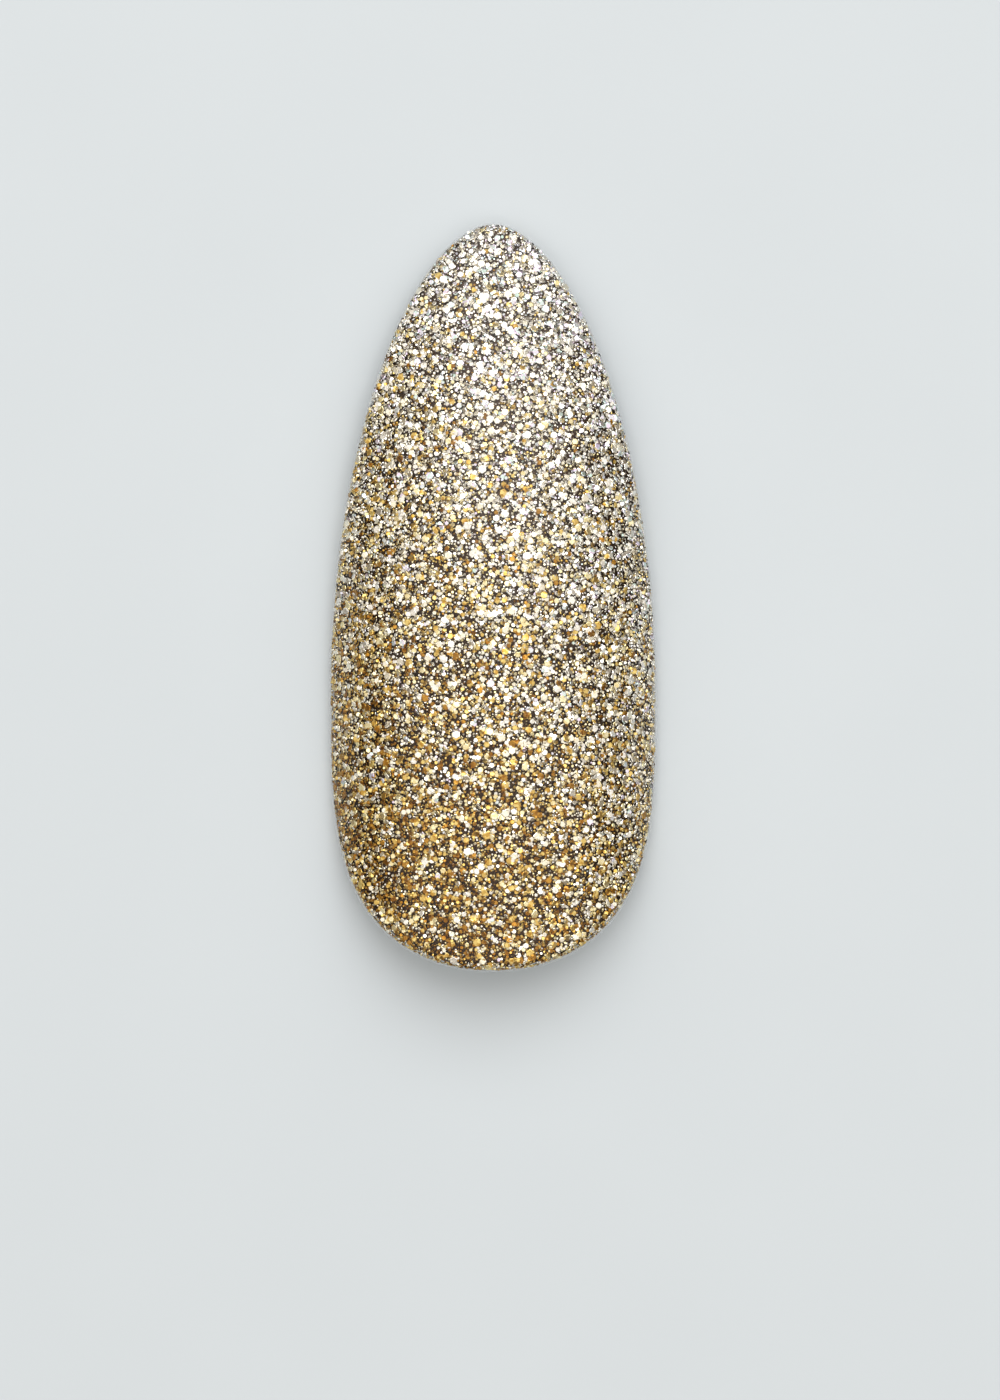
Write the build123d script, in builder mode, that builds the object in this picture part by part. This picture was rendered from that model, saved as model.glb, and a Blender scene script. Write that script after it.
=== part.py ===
"""Almond press-on nail: a moulded tip, four gel coats, an adhesive tab and its pull-off film.

The nail lies on its hollow side. +Z points up out of its face, +Y runs towards the
tip, X = 0 is its middle line, and z = 0 is the plane that its foot rests on.
"""
import os
from math import asin, cos, degrees, pi, sin, sqrt

from build123d import *

# Overall sizes of the finished nail, over its coats
nail_length = 25.0
nail_width = 11.0
widest_from_cuticle = 9.5
apex_from_cuticle = 10.0
bed_length = 13.0

# Exponents (along, across) of the superellipse that each end of the outline follows
tip_fullness = (1.86, 1.83)
cuticle_fullness = (3.7, 2.14)
outline_steps = 24

# Cross curve and walls of the moulded tip
outer_c_radius = 6.4
inner_c_radius = 6.9
apex_wall = 0.75
cuticle_wall = 0.42
tip_wall = 0.45
foot_drop = 0.12
well_recess = 0.12
shell_edge_radius = 0.15
pin_mark_diameter = 1.6
pin_mark_depth = 0.06
pin_mark_from_stop = 3.2

# Coats, from the shell outwards: thickness at the apex, and on the edge
coat_layers = {
    "base_coat": (0.08, 0.04),
    "colour_coat": (0.12, 0.06),
    "glitter_coat": (0.22, 0.11),
    "top_coat": (0.10, 0.05),
}
share_at_cuticle = 0.5
share_at_tip = 0.8
foot_margin = 0.06

# Adhesive tab in the nail bed, and the film that covers it
tab_layers = {
    "tab_upper_adhesive": 0.10,
    "tab_carrier_film": 0.10,
    "tab_lower_adhesive": 0.10,
}
tab_margin = 1.0
tab_stop_gap = 0.4
tab_corner_radius = 1.0
film_thickness = 0.08
film_clearance = 0.03
film_overhang = 0.2
ear_length = 4.0
ear_width = 4.4
ear_bend_radius = 18.0
ear_sweep = 30

# Cutting blocks reach past the nail by this much
overshoot = 2.0

cuticle_y = -nail_length / 2
tip_y = nail_length / 2
widest_y = cuticle_y + widest_from_cuticle
apex_y = cuticle_y + apex_from_cuticle
stop_y = cuticle_y + bed_length
tab_end_y = stop_y - tab_stop_gap

coat_rise = sum(thickness for thickness, _ in coat_layers.values())
shell_inset = sum(wrap for _, wrap in coat_layers.values())
shell_half = nail_width / 2 - shell_inset
bed_run = apex_y - cuticle_y - shell_inset
tip_run = tip_y - shell_inset - apex_y
free_run = tip_y - shell_inset - stop_y


def arc_sag(radius, half_width):
    """How far an arc falls from its crown to half_width away from it."""
    return radius - sqrt(radius**2 - half_width**2)


def radius_of(run, drop):
    """Radius of the arc that starts level and falls by drop over run."""
    return (run**2 + drop**2) / (2 * drop)


bed_z = arc_sag(inner_c_radius, shell_half) - foot_drop
well_z = bed_z + well_recess
apex_z = bed_z + apex_wall
block_half = shell_half + shell_inset + foot_margin
block_floor = apex_z + coat_rise - arc_sag(outer_c_radius, block_half) - overshoot


def end_points(inset, end_y, fullness):
    """Points of one end of the outline, from its widest line round to the other side.

    A superellipse: |x / half|^across + |y / run|^along = 1, with y measured from the widest line.
    """
    way = 1 if end_y > widest_y else -1
    half = nail_width / 2 - inset
    run = abs(end_y - widest_y) - inset
    along, across = fullness
    points = []
    for step in range(outline_steps + 1):
        turn = pi * step / outline_steps
        side = 1 if 2 * step < outline_steps else -1
        x = 0 if 2 * step == outline_steps else way * side * half * abs(cos(turn)) ** (2 / across)
        points.append((x, widest_y + way * run * sin(turn) ** (2 / along)))
    return points


def outline(inset, z):
    """Plan of the nail at height z, drawn in by inset."""
    with BuildSketch(Plane.XY.offset(z)) as plan:
        with BuildLine():
            Spline(*end_points(inset, tip_y, tip_fullness), tangents=((0, 1), (0, -1)))
            Spline(*end_points(inset, cuticle_y, cuticle_fullness), tangents=((0, -1), (0, 1)))
        make_face()
    return plan.sketch


def arched_section(radius, top_z, y):
    """Upright section across the nail at y: an arc on top, straight sides below it."""
    side_z = top_z - arc_sag(radius, block_half)
    with BuildSketch(Plane.XZ.offset(-y)) as section:
        with BuildLine():
            ThreePointArc((-block_half, side_z), (0, top_z), (block_half, side_z))
            Polyline(
                (block_half, side_z),
                (block_half, block_floor),
                (-block_half, block_floor),
                (-block_half, side_z),
            )
        make_face()
    return section.sketch


def bent(section, y, top_z, bend_radius, run, way):
    """Revolve a section along a level start that bends down, way +1 to the tip or -1 to the cuticle."""
    sweep = degrees(asin((run + overshoot) / (bend_radius - top_z + block_floor)))
    with BuildPart() as block:
        axis = Axis((0, y, top_z - bend_radius), (-way, 0, 0))
        revolve(section, axis=axis, revolution_arc=sweep)
    return block.part


def crowned_body(rise, wrap, foot_z):
    """Solid under the crown that lies rise above the bare shell, its edge wrap outside the shell's."""
    top_z = apex_z + rise
    cuticle_drop = top_z - (bed_z + cuticle_wall + rise * share_at_cuticle)
    tip_drop = top_z - (tip_wall + rise * share_at_tip)
    section = arched_section(outer_c_radius, top_z, apex_y)
    bed_half = bent(section, apex_y, top_z, radius_of(bed_run, cuticle_drop), bed_run, -1)
    tip_half = bent(section, apex_y, top_z, radius_of(tip_run, tip_drop), tip_run, 1)
    plan = outline(shell_inset - wrap, foot_z)
    with BuildPart() as crown:
        add([bed_half, tip_half])
    with BuildPart() as body:
        extrude(plan, amount=top_z + overshoot)
        add(crown.part, mode=Mode.INTERSECT)
        rim = body.faces().filter_by(GeomType.EXTRUSION).edges().filter_by(GeomType.LINE, reverse=True)
        fillet(rim.group_by(Axis.Z)[1:], radius=shell_edge_radius + wrap)
    return body.part


def hollow_block():
    """The space under the nail: a straight bed, then an arc that brings the tip down to z = 0."""
    bed_section = arched_section(inner_c_radius, well_z, stop_y)
    free_section = arched_section(inner_c_radius, bed_z, stop_y)
    free_edge = bent(free_section, stop_y, bed_z, radius_of(free_run, bed_z), free_run, 1)
    with BuildPart() as block:
        extrude(bed_section, amount=bed_length + overshoot)
        add(free_edge)
    return block.part


def bed_rod(radius):
    """Cylinder along the nail bed, on the axis of the well's curve."""
    with BuildSketch(Plane.XZ.offset(-stop_y - overshoot)) as disc:
        with Locations((0, well_z - inner_c_radius)):
            Circle(radius)
    with BuildPart() as rod:
        extrude(disc.sketch, amount=bed_length + 2 * overshoot)
    return rod.part


def tab_plan(grow):
    """Plan of the tab: the nail's outline drawn in, cut off square before the stop line."""
    with BuildSketch() as plan:
        add(outline(shell_inset + tab_margin - grow, 0))
        with Locations((0, tab_end_y + grow)):
            Rectangle(nail_width, nail_length, align=(Align.CENTER, Align.MIN), mode=Mode.SUBTRACT)
        fillet(plan.vertices().group_by(Axis.Y)[-1], radius=tab_corner_radius + grow)
    return plan.sketch


def bed_band(plan, top_radius, thickness):
    """Sheet of even thickness that follows the well's curve, cut to a plan."""
    outer_rod = bed_rod(top_radius)
    inner_rod = bed_rod(top_radius - thickness)
    with BuildPart() as band:
        extrude(plan, amount=well_z + overshoot)
        add(outer_rod, mode=Mode.INTERSECT)
        add(inner_rod, mode=Mode.SUBTRACT)
    return band.part


hollow = hollow_block()
bare_body = crowned_body(0, 0, 0)

# The moulded tip: thin side walls, a recessed nail bed that ends in a stop line,
# and the round mark that the mould's ejector pin leaves ahead of it
pin_mark_z = bed_z - arc_sag(radius_of(free_run, bed_z), pin_mark_from_stop)
with BuildPart() as tip_shell:
    add(bare_body)
    add(hollow, mode=Mode.SUBTRACT)
    with Locations((0, stop_y + pin_mark_from_stop, pin_mark_z)):
        Cylinder(pin_mark_diameter / 2, 2 * pin_mark_depth, mode=Mode.SUBTRACT)
tip_shell.part.label = "tip_shell"

os.makedirs("parts", exist_ok=True)
export_step(tip_shell.part, "parts/tip_shell.step")

# Gel coats, each brushed over the one before and down over its edge
rise, wrap = 0, 0
covered = bare_body
for name, (thickness, side_wrap) in coat_layers.items():
    rise += thickness
    wrap += side_wrap
    outer_body = crowned_body(rise, wrap, foot_margin)
    with BuildPart() as coat:
        add(outer_body)
        add(covered, mode=Mode.SUBTRACT)
        add(hollow, mode=Mode.SUBTRACT)
    coat.part.label = name
    export_step(coat.part, f"parts/{name}.step")
    covered = outer_body

# Double-sided adhesive tab, in contact with the well's curved roof
layer_radius = inner_c_radius
for name, thickness in tab_layers.items():
    with BuildPart() as layer:
        add(bed_band(tab_plan(0), layer_radius, thickness))
    layer.part.label = name
    export_step(layer.part, f"parts/{name}.step")
    layer_radius -= thickness

# Release film with a pull ear that bends down under the free edge
film_radius = layer_radius - film_clearance
film_z = well_z - inner_c_radius + film_radius
ear_root_y = tab_end_y + film_overhang
with BuildSketch(Plane.XZ.offset(-ear_root_y)) as ear_section:
    with Locations((0, well_z - inner_c_radius)):
        Circle(film_radius)
        Circle(film_radius - film_thickness, mode=Mode.SUBTRACT)
    with Locations((0, film_z)):
        Rectangle(ear_width, 2 * film_radius, mode=Mode.INTERSECT)
with BuildSketch() as ear_plan:
    with Locations((0, ear_root_y)):
        SlotOverall(2 * ear_length, ear_width, rotation=90)
with BuildPart() as release_film:
    revolve(
        ear_section.sketch,
        axis=Axis((0, ear_root_y, film_z - ear_bend_radius), (-1, 0, 0)),
        revolution_arc=ear_sweep,
    )
    extrude(ear_plan.sketch, amount=well_z, mode=Mode.INTERSECT)
    add(bed_band(tab_plan(film_overhang), film_radius, film_thickness))
release_film.part.label = "release_film"
export_step(release_film.part, "parts/release_film.step")
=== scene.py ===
"""Looks of an almond press-on nail: glitter set in clear gel over a moulded ABS tip.

Metres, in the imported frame: +Z out of the nail's face, +Y towards its tip, z = 0 the table.
"""
from math import radians

import bpy
import numpy as np
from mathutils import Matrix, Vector


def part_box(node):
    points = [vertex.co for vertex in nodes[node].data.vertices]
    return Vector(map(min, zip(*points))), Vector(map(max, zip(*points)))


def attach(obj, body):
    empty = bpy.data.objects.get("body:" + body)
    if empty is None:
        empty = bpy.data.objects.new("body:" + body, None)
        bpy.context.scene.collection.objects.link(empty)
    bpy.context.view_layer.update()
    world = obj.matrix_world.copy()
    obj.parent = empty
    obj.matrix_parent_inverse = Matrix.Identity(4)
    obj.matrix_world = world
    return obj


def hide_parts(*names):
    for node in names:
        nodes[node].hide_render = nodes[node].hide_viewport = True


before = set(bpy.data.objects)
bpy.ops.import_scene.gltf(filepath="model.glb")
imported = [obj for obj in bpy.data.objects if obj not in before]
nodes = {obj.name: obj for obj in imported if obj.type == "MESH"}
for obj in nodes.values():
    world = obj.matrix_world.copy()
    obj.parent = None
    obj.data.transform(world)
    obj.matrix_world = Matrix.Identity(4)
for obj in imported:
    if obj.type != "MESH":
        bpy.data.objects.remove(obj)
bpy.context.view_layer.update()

MM = 0.001
NAIL = "nail"

# Glitter: six-sided flakes cut from metallised film. A wide flake has no room to tilt far.
flake_width = 0.108 * MM
flake_width_spread = 0.42
flake_widths_allowed = (0.06 * MM, 0.30 * MM)
flake_thickness = 0.016 * MM
flake_flat_share = 0.8
flake_tilt = radians(26)

# The upper flakes settle side by side under the top coat, and the lower ones fill in beneath
upper_gap = 0.082 * MM
upper_depth = (0.015 * MM, 0.045 * MM)
upper_tries = 90000
lower_depth = (0.06 * MM, 0.15 * MM)
lower_count = 12000
rim_step = 0.25 * MM

# How strongly the mix turns to silver: in random clumps; towards the tip and to the right as a painted
# highlight where the key light falls; and near the top, with darker finishes lower down as painted
# shade
clump_strength = 0.4
tip_highlight_strength = 1.15
right_highlight_strength = 0.45
depth_shade_strength = 1.0
clump_size = 0.45 * MM
clump_size_range = (0.6, 1.6)
clump_waves = 40

# A line under the nail that its outer faces look away from
keel_drop = 5 * MM
keel_share = 0.9

# Share of each finish, from the dullest end of the mix to the brightest
flake_finishes = {
    "amber_flakes": 0.12,
    "gold_flakes": 0.19,
    "pale_gold_flakes": 0.16,
    "champagne_flakes": 0.20,
    "silver_flakes": 0.25,
    "pearl_flakes": 0.08,
}

table_radius = 0.22
table_corners = 96
camera_lens = 100.0
camera_height = 131.0 * MM
camera_place = (0.23 * MM, -3.52 * MM)
camera_clip_start = 5 * MM

# Softboxes: place, width, height and brightness
softboxes = {
    "key_box": ((0.04, 0.24, 0.32), 0.50, 0.36, 1.9),
    "overhead_scrim": ((0.0, 0.04, 0.40), 1.80, 1.20, 1.07),
}
backdrop_colour = "#dfe3e4"
room_colour = "#d0b486"
room_brightness = 0.28

rng = np.random.default_rng(23)


# ---------------------------------------------------------------- materials


def linear(colour):
    """sRGB hex to a linear RGBA colour: ((c + 0.055) / 1.055) ** 2.4, straight below 0.04045."""
    channels = [int(colour[i : i + 2], 16) / 255 for i in (1, 3, 5)]
    return [c / 12.92 if c <= 0.04045 else ((c + 0.055) / 1.055) ** 2.4 for c in channels] + [1.0]


def add_node(tree, kind, settings=(), **sockets):
    """Add a node, give it its settings, and fill or link its inputs, by name or as _6 by number."""
    node = tree.nodes.new(kind)
    for key, value in dict(settings).items():
        setattr(node, key, value)
    for key, value in sockets.items():
        socket = node.inputs[int(key[1:]) if key[0] == "_" else key.replace("_", " ")]
        if isinstance(value, bpy.types.NodeSocket):
            tree.links.new(value, socket)
        else:
            socket.default_value = value
    return node


def new_material(name):
    """A material with an empty node tree, its output, and the object's own coordinates."""
    material = bpy.data.materials.new(name)
    material.use_nodes = True
    tree = material.node_tree
    tree.nodes.clear()
    output = add_node(tree, "ShaderNodeOutputMaterial")
    place = add_node(tree, "ShaderNodeTexCoord").outputs["Object"]
    return material, tree, output, place


def finish_material(tree, output, shader):
    """Link the last shader to the material's output."""
    tree.links.new(shader, output.inputs["Surface"])


def mix_colours(tree, share, low, high):
    """A colour between two sRGB hex colours: low where the share is 0, high where it is 1."""
    mix = add_node(
        tree,
        "ShaderNodeMix",
        {"data_type": "RGBA"},
        _0=share,
        _6=linear(low),
        _7=linear(high),
    )
    return mix.outputs[2]


def foil_flake(name, dark, bright, roughness):
    """Vacuum-metallised polyester film: a mirror-bright foil whose lacquer tints it.

    Cut from rolls of slightly different batches, so the tone shifts from flake to flake.
    """
    material, tree, output, place = new_material(name)
    batch = add_node(tree, "ShaderNodeTexVoronoi", Vector=place, Scale=1 / flake_width)
    shade = add_node(tree, "ShaderNodeSeparateColor", Color=batch.outputs["Color"])
    tint = mix_colours(tree, shade.outputs["Red"], dark, bright)
    foil = add_node(
        tree, "ShaderNodeBsdfPrincipled", Base_Color=tint, Metallic=1.0, Roughness=roughness
    )
    finish_material(tree, output, foil.outputs[0])
    return material


def gold_gel_painted_shade():
    """Cured gel colour full of fine gold mica: a gold bed under the loose flakes, painted near black
    as the shade that falls in the gaps between them.
    """
    material, tree, output, place = new_material("gold_gel_painted_shade")
    mica = add_node(tree, "ShaderNodeTexNoise", Vector=place, Scale=1 / (0.06 * MM), Detail=2.0)
    # Painted shade: both tones are near black, a dark bed for the shadow between the flakes
    tint = mix_colours(tree, mica.outputs[0], "#170d03", "#4a2f0e")
    gel = add_node(
        tree, "ShaderNodeBsdfPrincipled", Base_Color=tint, Metallic=0.7, Roughness=0.45
    )
    finish_material(tree, output, gel.outputs[0])
    return material


def clear_gel():
    """Cured clear gel top coat: colourless, levelled by brush, with a soft gloss."""
    material, tree, output, place = new_material("clear_gel")
    wave = add_node(tree, "ShaderNodeTexNoise", Vector=place, Scale=1 / (0.35 * MM), Detail=1.0)
    ripple = add_node(tree, "ShaderNodeBump", Height=wave.outputs[0], Strength=0.6, Distance=0.06 * MM)
    ripple = ripple.outputs[0]
    gloss = add_node(
        tree, "ShaderNodeBsdfGlossy", Color=(1, 1, 1, 1), Roughness=0.3, Normal=ripple
    ).outputs[0]
    clear = add_node(tree, "ShaderNodeBsdfTransparent", Color=(1, 1, 1, 1)).outputs[0]
    rim = add_node(tree, "ShaderNodeFresnel", IOR=1.33, Normal=ripple).outputs[0]
    back = add_node(tree, "ShaderNodeNewGeometry").outputs["Backfacing"]
    outside = add_node(tree, "ShaderNodeMath", {"operation": "SUBTRACT"}, _0=1.0, _1=back)
    share = add_node(
        tree, "ShaderNodeMath", {"operation": "MULTIPLY"}, _0=rim, _1=outside.outputs[0]
    )
    coat = add_node(tree, "ShaderNodeMixShader", _0=share.outputs[0], _1=clear, _2=gloss)
    finish_material(tree, output, coat.outputs[0])
    return material


def milky_abs():
    """Injection-moulded natural ABS: milky, satin where the mould was sparked."""
    material, tree, output, place = new_material("milky_abs")
    grain = add_node(tree, "ShaderNodeTexNoise", Vector=place, Scale=1 / (0.12 * MM), Detail=3.0)
    bump = add_node(tree, "ShaderNodeBump", Height=grain.outputs[0], Strength=0.3, Distance=0.01 * MM)
    cloud = add_node(tree, "ShaderNodeTexNoise", Vector=place, Scale=1 / (3.0 * MM), Detail=1.0)
    tint = mix_colours(tree, cloud.outputs[0], "#e6e0d2", "#f1ede3")
    plastic = add_node(
        tree,
        "ShaderNodeBsdfPrincipled",
        Base_Color=tint,
        Roughness=0.42,
        IOR=1.53,
        Normal=bump.outputs[0],
    )
    finish_material(tree, output, plastic.outputs[0])
    return material


def soft_film(name, low, high, roughness):
    """Thin polymer film or adhesive sheet, with the faint streaks of its coating roller."""
    material, tree, output, place = new_material(name)
    streak_scale = (1 / (0.15 * MM), 1 / (3.0 * MM), 1 / (0.15 * MM))
    along = add_node(tree, "ShaderNodeMapping", Vector=place, Scale=streak_scale)
    streak = add_node(tree, "ShaderNodeTexNoise", Vector=along.outputs[0], Scale=1.0, Detail=2.0)
    tint = mix_colours(tree, streak.outputs[0], low, high)
    film = add_node(
        tree, "ShaderNodeBsdfPrincipled", Base_Color=tint, Roughness=roughness, IOR=1.5
    )
    finish_material(tree, output, film.outputs[0])
    return material


def table_paper():
    """Plain pale seamless paper."""
    material, tree, output, place = new_material("table_paper")
    fibre = add_node(tree, "ShaderNodeTexNoise", Vector=place, Scale=1 / (8.0 * MM), Detail=2.0)
    tint = mix_colours(tree, fibre.outputs[0], "#bdc4c9", "#c0c7cc")
    paper = add_node(
        tree,
        "ShaderNodeBsdfPrincipled",
        Base_Color=tint,
        Roughness=0.9,
        Specular_IOR_Level=0.1,
    )
    finish_material(tree, output, paper.outputs[0])
    return material


# ---------------------------------------------------------------- glitter


def outward_triangles(node):
    """Corner places and corner normals of a coat's triangles that face away from the nail.

    Outward means that the face's normal and the line from the coat's keel to it agree. The
    keel is a line under the nail, drawn in at both ends.
    """
    mesh = nodes[node].data
    mesh.calc_loop_triangles()
    count = len(mesh.loop_triangles)
    places = np.empty(len(mesh.vertices) * 3, np.float32)
    corners = np.empty(count * 3, np.int32)
    loops = np.empty(count * 3, np.int32)
    normals = np.empty(len(mesh.loops) * 3, np.float32)
    mesh.vertices.foreach_get("co", places)
    mesh.loop_triangles.foreach_get("vertices", corners)
    mesh.loop_triangles.foreach_get("loops", loops)
    mesh.corner_normals.foreach_get("vector", normals)
    at = places.reshape(-1, 3)[corners.reshape(-1, 3)].astype(float)
    normal = normals.reshape(-1, 3)[loops.reshape(-1, 3)].astype(float)
    middle = at.mean(1)
    keel = middle * (0.0, keel_share, 0.0) - (0.0, 0.0, keel_drop)
    flat = np.cross(at[:, 1] - at[:, 0], at[:, 2] - at[:, 0])
    outward = np.einsum("ij,ij->i", flat, middle - keel) > 0
    return at[outward], normal[outward], np.linalg.norm(flat[outward], axis=1) / 2


def scatter(node, count):
    """Even random places on the outside of a coat, with the coat's smooth normal at each.

    A triangle is drawn with a chance that goes with its area. The point in it is
    (1 - sqrt(a)) A + sqrt(a) (1 - b) B + sqrt(a) b C, with a and b random.
    """
    at, normal, area = outward_triangles(node)
    pick = rng.choice(len(area), count, p=area / area.sum())
    a, b = np.sqrt(rng.random(count)), rng.random(count)
    weight = np.stack([1 - a, a * (1 - b), a * b], 1)[:, :, None]
    place = (at[pick] * weight).sum(1)
    facing = (normal[pick] * weight).sum(1)
    return place, facing / np.linalg.norm(facing, axis=1, keepdims=True)


def near_pairs(place, gap):
    """Numbers of every two places nearer than gap.

    The places are sorted along the nail, and the list is slid past itself one step at a time.
    """
    order = np.argsort(place[:, 1])
    row = place[order]
    found = []
    for shift in range(1, len(row)):
        beside = row[shift:, 1] - row[:-shift, 1] < gap
        if not beside.any():
            break
        first = np.flatnonzero(beside & (((row[shift:] - row[:-shift]) ** 2).sum(1) < gap**2))
        found.append(np.stack([order[first], order[first + shift]]))
    return np.concatenate(found, 1)


def thin_out(place, gap):
    """Numbers of a random set of places that stand at least gap apart and leave no room for more.

    Each place draws a rank. In each round the places that outrank all their undecided
    neighbours are kept, and those neighbours are dropped.
    """
    one, other = near_pairs(place, gap)
    rank = rng.permutation(len(place))
    undecided = np.ones(len(place), bool)
    kept = np.zeros(len(place), bool)
    while undecided.any():
        live = undecided[one] & undecided[other]
        one, other = one[live], other[live]
        beaten = np.zeros(len(place), bool)
        beaten[np.where(rank[one] < rank[other], one, other)] = True
        winner = undecided & ~beaten
        kept |= winner
        undecided &= ~winner
        undecided[one[winner[other]]] = False
        undecided[other[winner[one]]] = False
    return np.flatnonzero(kept)


def clump_field(place):
    """A smooth random field of spread 1: the sum of plane waves whose length is about clump_size."""
    turn = rng.random(clump_waves) * 2 * np.pi
    length = clump_size * rng.uniform(*clump_size_range, clump_waves)
    across = np.stack([np.cos(turn), np.sin(turn)]) * 2 * np.pi / length
    phase = rng.random(clump_waves) * 2 * np.pi
    return np.cos(place[:, :2] @ across + phase).sum(1) / np.sqrt(clump_waves / 2)


def room_above_rim(place):
    """How far each place stands above the lowest place in its own slice of the nail."""
    step = ((place[:, 1] - place[:, 1].min()) / rim_step).astype(int)
    rim = np.full(step.max() + 1, np.inf)
    np.minimum.at(rim, step, place[:, 2])
    return place[:, 2] - rim[step]


def flake_mesh(name, centre, normal, width):
    """Six-sided plates, with corner k at centre + r (cos(60 k) u + sin(60 k) v) +- half n.

    u and v are the plate's own axes across its normal n, turned by a random spin. The die that
    cuts a flake presses its edge down, so r is smaller on the upper face than on the lower.
    """
    count = len(centre)
    spin = rng.random(count)[:, None] * 2 * np.pi
    # An axis that is never along the normal: Y, or X for the few flakes that face along Y
    helper = np.where(np.abs(normal[:, 1:2]) < 0.9, (0.0, 1.0, 0.0), (1.0, 0.0, 0.0))
    side = np.cross(normal, helper)
    side /= np.linalg.norm(side, axis=1, keepdims=True)
    other = np.cross(normal, side)
    u = np.cos(spin) * side + np.sin(spin) * other
    v = np.cross(normal, u)
    turn = np.arange(6) * np.pi / 3
    ring = np.cos(turn)[None, :, None] * u[:, None] + np.sin(turn)[None, :, None] * v[:, None]
    ring *= width[:, None, None] / 2
    half = normal[:, None] * flake_thickness / 2
    upper = centre[:, None] + ring * flake_flat_share + half
    lower = centre[:, None] + ring - half
    vertices = np.concatenate([upper, lower], 1).reshape(-1, 3)
    top = np.arange(6)
    sides = np.stack([top, top + 6, (top + 1) % 6 + 6, (top + 1) % 6], 1)
    plate = np.concatenate([top, top[::-1] + 6, sides.ravel()])
    face_sizes = np.array([6, 6] + [4] * 6)
    first = np.arange(count)[:, None] * 12
    corners = (plate[None] + first).ravel().astype(np.int32)
    sizes = np.tile(face_sizes, count).astype(np.int32)
    starts = np.concatenate([[0], np.cumsum(sizes)[:-1]]).astype(np.int32)
    mesh = bpy.data.meshes.new(name)
    mesh.vertices.add(len(vertices))
    mesh.vertices.foreach_set("co", vertices.astype(np.float32).ravel())
    mesh.loops.add(len(corners))
    mesh.loops.foreach_set("vertex_index", corners)
    mesh.polygons.add(len(sizes))
    mesh.polygons.foreach_set("loop_start", starts)
    mesh.polygons.foreach_set("loop_total", sizes)
    mesh.update(calc_edges=True)
    mesh.validate()
    mesh.shade_flat()
    return mesh


def settle_flakes():
    """Centre, normal, width and silver score of every flake, in two layers of the glitter coat.

    A flake is drawn log-normally wide, fits above the coat's lower rim, and leans from the coat's
    normal by a random slope. The higher its score, the brighter the finish that it gets. The score
    is random and raised in clumps; it also rises towards the tip and the right as a painted
    highlight, and falls with depth as painted shade.
    """
    tried, tried_facing = scatter("glitter_coat", upper_tries)
    upper = thin_out(tried, upper_gap)
    lower, lower_facing = scatter("glitter_coat", lower_count)
    place = np.concatenate([tried[upper], lower])
    facing = np.concatenate([tried_facing[upper], lower_facing])
    depth = np.concatenate(
        [rng.uniform(*upper_depth, len(upper)), rng.uniform(*lower_depth, lower_count)]
    )
    width = flake_width * np.exp(rng.normal(0, flake_width_spread, len(place)))
    width = np.minimum(width.clip(*flake_widths_allowed), 2 * room_above_rim(place))
    inside = width >= flake_widths_allowed[0]
    place, facing, depth, width = place[inside], facing[inside], depth[inside], width[inside]
    lean = rng.normal(0, np.tan(flake_tilt), place.shape)
    lean *= np.minimum(1, flake_width / width)[:, None]
    normal = facing + lean - facing * (lean * facing).sum(1, keepdims=True)
    normal /= np.linalg.norm(normal, axis=1, keepdims=True)
    low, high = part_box("glitter_coat")
    along = (place[:, 1] - low.y) / (high.y - low.y) - 0.5
    score = rng.normal(0, 1, len(place)) + clump_strength * clump_field(place)
    # Painted highlight: brighter finishes towards the tip and to the right, where the key light falls
    score += 2 * tip_highlight_strength * along
    score += right_highlight_strength * place[:, 0] / high.x
    # Painted shade: deeper flakes get darker finishes, for the shade in the gaps under the upper
    # flakes
    score -= depth_shade_strength * depth / lower_depth[1]
    return place - facing * depth[:, None], normal, width, score


def lay_glitter(materials):
    """Sort the flakes into their finishes by score, and make one piece of each finish."""
    centre, normal, width, score = settle_flakes()
    order = np.argsort(score)
    first = 0
    for name, share in flake_finishes.items():
        chosen = order[first : first + round(share * len(order))]
        first += len(chosen)
        mesh = flake_mesh(name, centre[chosen], normal[chosen], width[chosen])
        mesh.materials.append(materials[name])
        piece = bpy.data.objects.new(name, mesh)
        bpy.context.scene.collection.objects.link(piece)
        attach(piece, NAIL)
        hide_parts("glitter_coat")


# ---------------------------------------------------------------- stage


def add_stage():
    """A round pale table under the nail: corner k stands at r (cos k, sin k)."""
    mesh = bpy.data.meshes.new("table")
    turn = np.linspace(0, 2 * np.pi, table_corners, endpoint=False)
    ring = np.stack([np.cos(turn), np.sin(turn), 0 * turn], 1) * table_radius
    mesh.from_pydata(ring.tolist(), [], [list(range(table_corners))])
    mesh.materials.append(table_paper())
    table = bpy.data.objects.new("table", mesh)
    bpy.context.scene.collection.objects.link(table)


def add_camera():
    """Straight above the nail and looking down, with +Y at the top of the view."""
    data = bpy.data.cameras.new("camera")
    data.lens = camera_lens
    data.clip_start = camera_clip_start
    camera = bpy.data.objects.new("camera", data)
    camera.location = (*camera_place, camera_height)
    bpy.context.scene.collection.objects.link(camera)
    bpy.context.scene.camera = camera


def add_softbox(name, place, width, height, brightness):
    """A flat lamp that faces the nail; its power is brightness times pi times its area."""
    data = bpy.data.lights.new(name, "AREA")
    data.shape = "RECTANGLE"
    data.size, data.size_y = width, height
    data.energy = brightness * np.pi * width * height
    lamp = bpy.data.objects.new(name, data)
    lamp.location = place
    lamp.rotation_euler = (-Vector(place)).to_track_quat("-Z", "Y").to_euler()
    bpy.context.scene.collection.objects.link(lamp)


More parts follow.
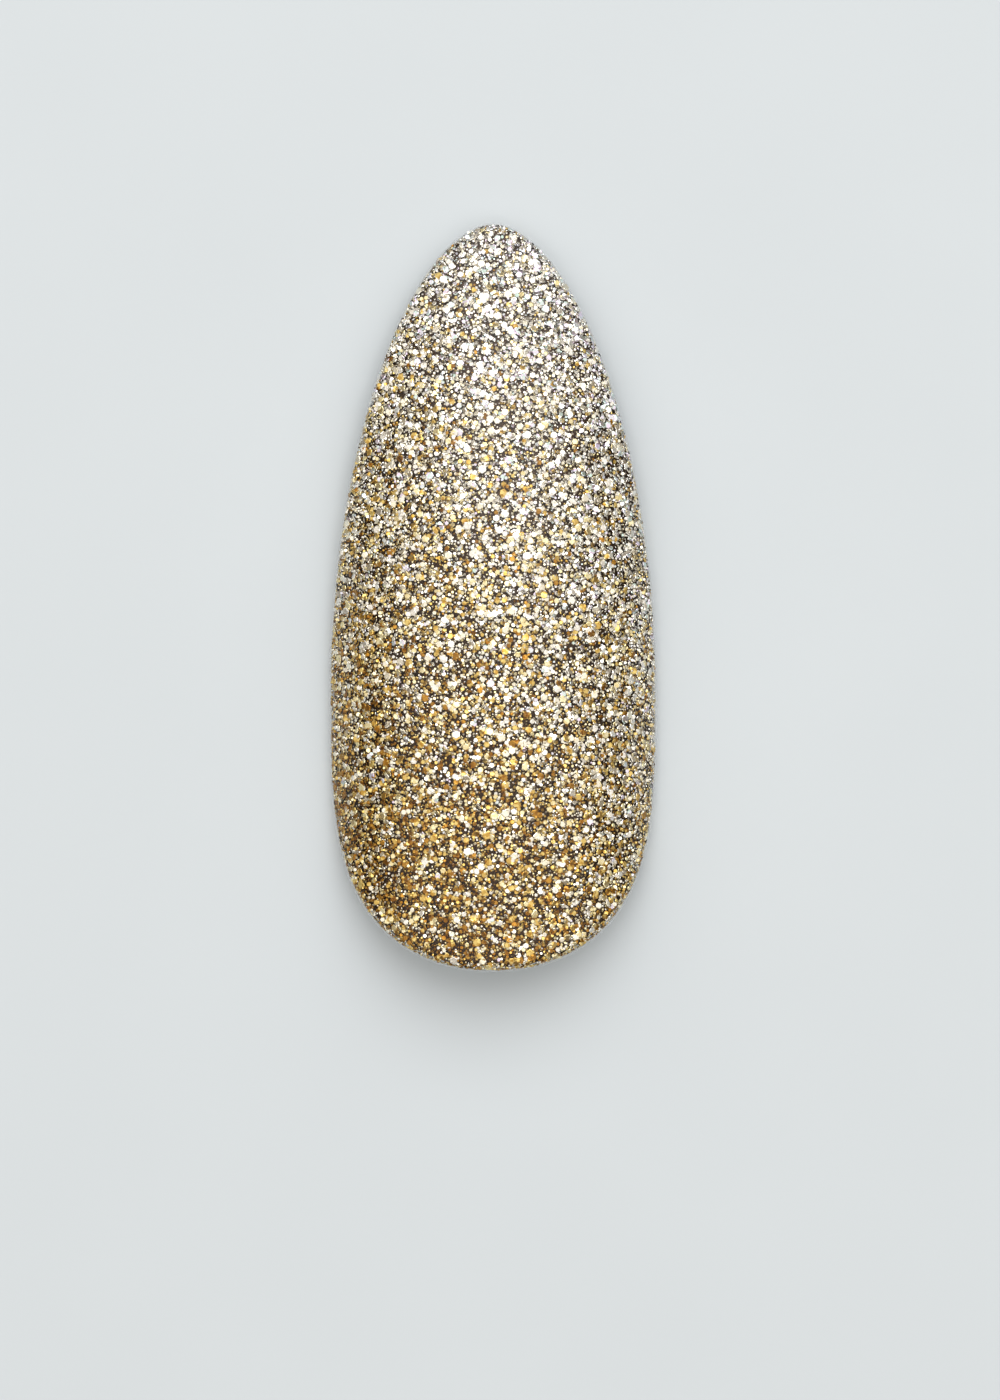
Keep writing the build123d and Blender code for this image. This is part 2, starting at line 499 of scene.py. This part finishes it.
def add_light():
    """Soft studio light: a box beyond the tip, a broad scrim overhead, and a dim warm room."""
    for name, (place, width, height, brightness) in softboxes.items():
        add_softbox(name, place, width, height, brightness)
    world = bpy.data.worlds.new("studio")
    world.use_nodes = True
    tree = world.node_tree
    tree.nodes.clear()
    seen = add_node(tree, "ShaderNodeBackground", Color=linear(backdrop_colour), Strength=1.0)
    room = add_node(
        tree, "ShaderNodeBackground", Color=linear(room_colour), Strength=room_brightness
    )
    path = add_node(tree, "ShaderNodeLightPath")
    either = add_node(
        tree,
        "ShaderNodeMixShader",
        _0=path.outputs["Is Camera Ray"],
        _1=room.outputs[0],
        _2=seen.outputs[0],
    )
    output = add_node(tree, "ShaderNodeOutputWorld")
    tree.links.new(either.outputs[0], output.inputs["Surface"])
    bpy.context.scene.world = world


flake_foils = {
    "amber_flakes": foil_flake("amber_foil", "#80500f", "#b38636", 0.30),
    "gold_flakes": foil_flake("gold_foil", "#b0822a", "#e8cf80", 0.28),
    "pale_gold_flakes": foil_flake("pale_gold_foil", "#e0cd94", "#f4eac2", 0.27),
    "champagne_flakes": foil_flake("champagne_foil", "#eae2ca", "#f8f3e4", 0.27),
    "silver_flakes": foil_flake("silver_foil", "#dcd7cc", "#f7f4ec", 0.25),
    "pearl_flakes": foil_flake("pearl_foil", "#cfe6dc", "#ecd9f0", 0.25),
}
lay_glitter(flake_foils)

node_finishes = {
    "tip_shell": milky_abs(),
    "base_coat": soft_film("clear_base_gel", "#e8e4d8", "#efece2", 0.2),
    "colour_coat": gold_gel_painted_shade(),
    "top_coat": clear_gel(),
    "tab_upper_adhesive": soft_film("acrylic_adhesive", "#dfe2dc", "#e8eae6", 0.3),
    "tab_carrier_film": soft_film("polyester_film", "#d6dee2", "#e2e8ea", 0.25),
    "tab_lower_adhesive": soft_film("acrylic_adhesive_inner", "#dfe2dc", "#e8eae6", 0.3),
    "release_film": soft_film("siliconised_film", "#9cc3d6", "#b4d3e1", 0.35),
}
for node, material in node_finishes.items():
    nodes[node].data.materials.clear()
    nodes[node].data.materials.append(material)

add_stage()
add_light()
add_camera()
bpy.context.scene.view_settings.view_transform = "Standard"
